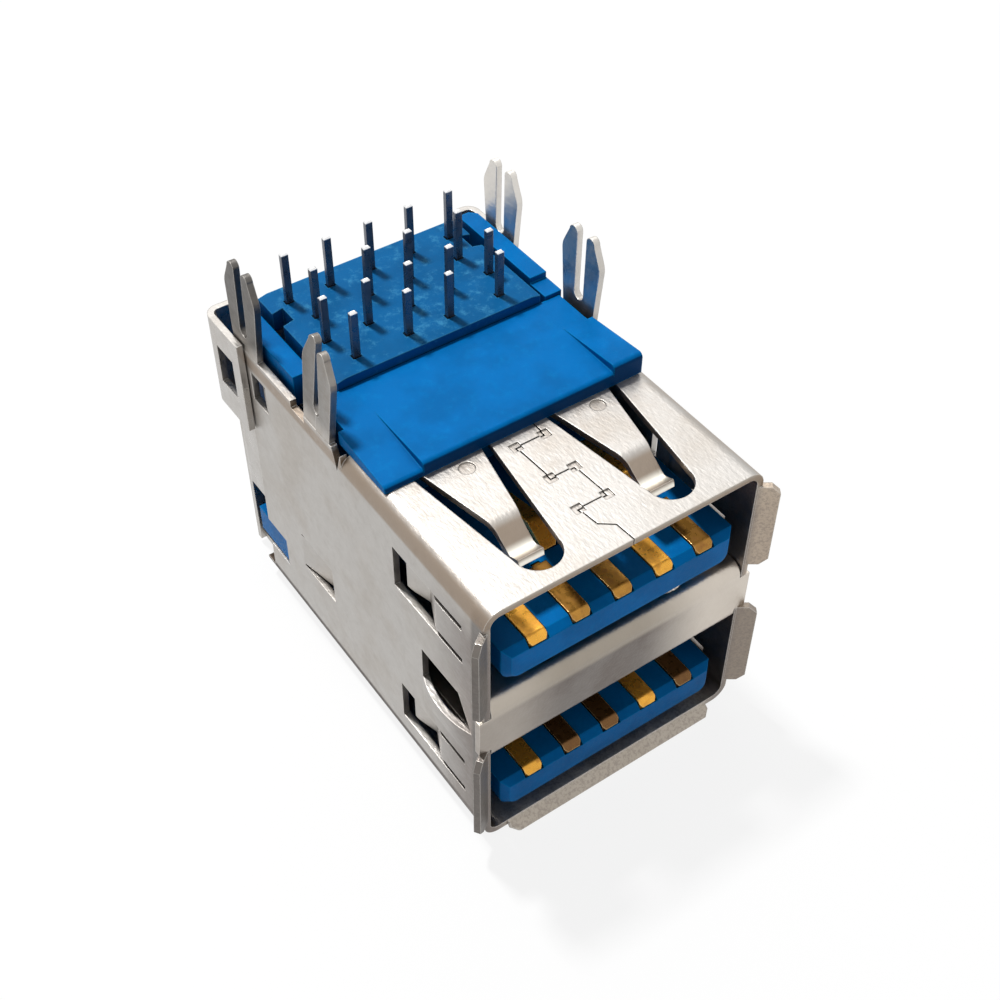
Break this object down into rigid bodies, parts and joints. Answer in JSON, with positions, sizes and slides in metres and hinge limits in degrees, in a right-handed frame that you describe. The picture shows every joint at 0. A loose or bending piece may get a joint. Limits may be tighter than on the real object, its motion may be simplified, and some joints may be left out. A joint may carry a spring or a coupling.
{
  "type": "dual usb-a socket",
  "caption": "Stacked Type-A board socket in a folded sheet-metal shell with blue mouldings, through-hole tails and forked board legs.",
  "frame": {"origin": "bottom centre of the bounding box, with the socket lying on its roof as in the picture", "axes": "+Z towards the circuit board and the tails, -Y out of the two mouths, +X to the right seen from the mouths"},
  "size_m": [0.0146, 0.021, 0.0188],
  "materials": {
    "shell_sheet": "satin nickel plating",
    "cover_sheet": "satin nickel plating",
    "shield_sheet": "satin nickel plating",
    "housing_plastic": "moulded, half gloss",
    "aligner_plastic": "moulded, half gloss",
    "contact_metal": "gold plated in front, tin plated tails"
  },
  "bodies": {
    "root": {"outer_shell": "shell_sheet", "rear_cover": "cover_sheet", "centre_shield": "shield_sheet", "housing": "housing_plastic", "far_insert": "housing_plastic", "tail_aligner": "aligner_plastic", "near_data_contact_1": "contact_metal", "near_data_contact_2": "contact_metal", "near_data_contact_3": "contact_metal", "near_data_contact_4": "contact_metal", "near_fast_contact_1": "contact_metal", "near_fast_contact_2": "contact_metal", "near_fast_contact_3": "contact_metal", "near_fast_contact_4": "contact_metal", "near_fast_contact_5": "contact_metal", "far_data_contact_1": "contact_metal", "far_data_contact_2": "contact_metal", "far_data_contact_3": "contact_metal", "far_data_contact_4": "contact_metal", "far_fast_contact_1": "contact_metal", "far_fast_contact_2": "contact_metal", "far_fast_contact_3": "contact_metal", "far_fast_contact_4": "contact_metal", "far_fast_contact_5": "contact_metal"}
  },
  "joints": []
}
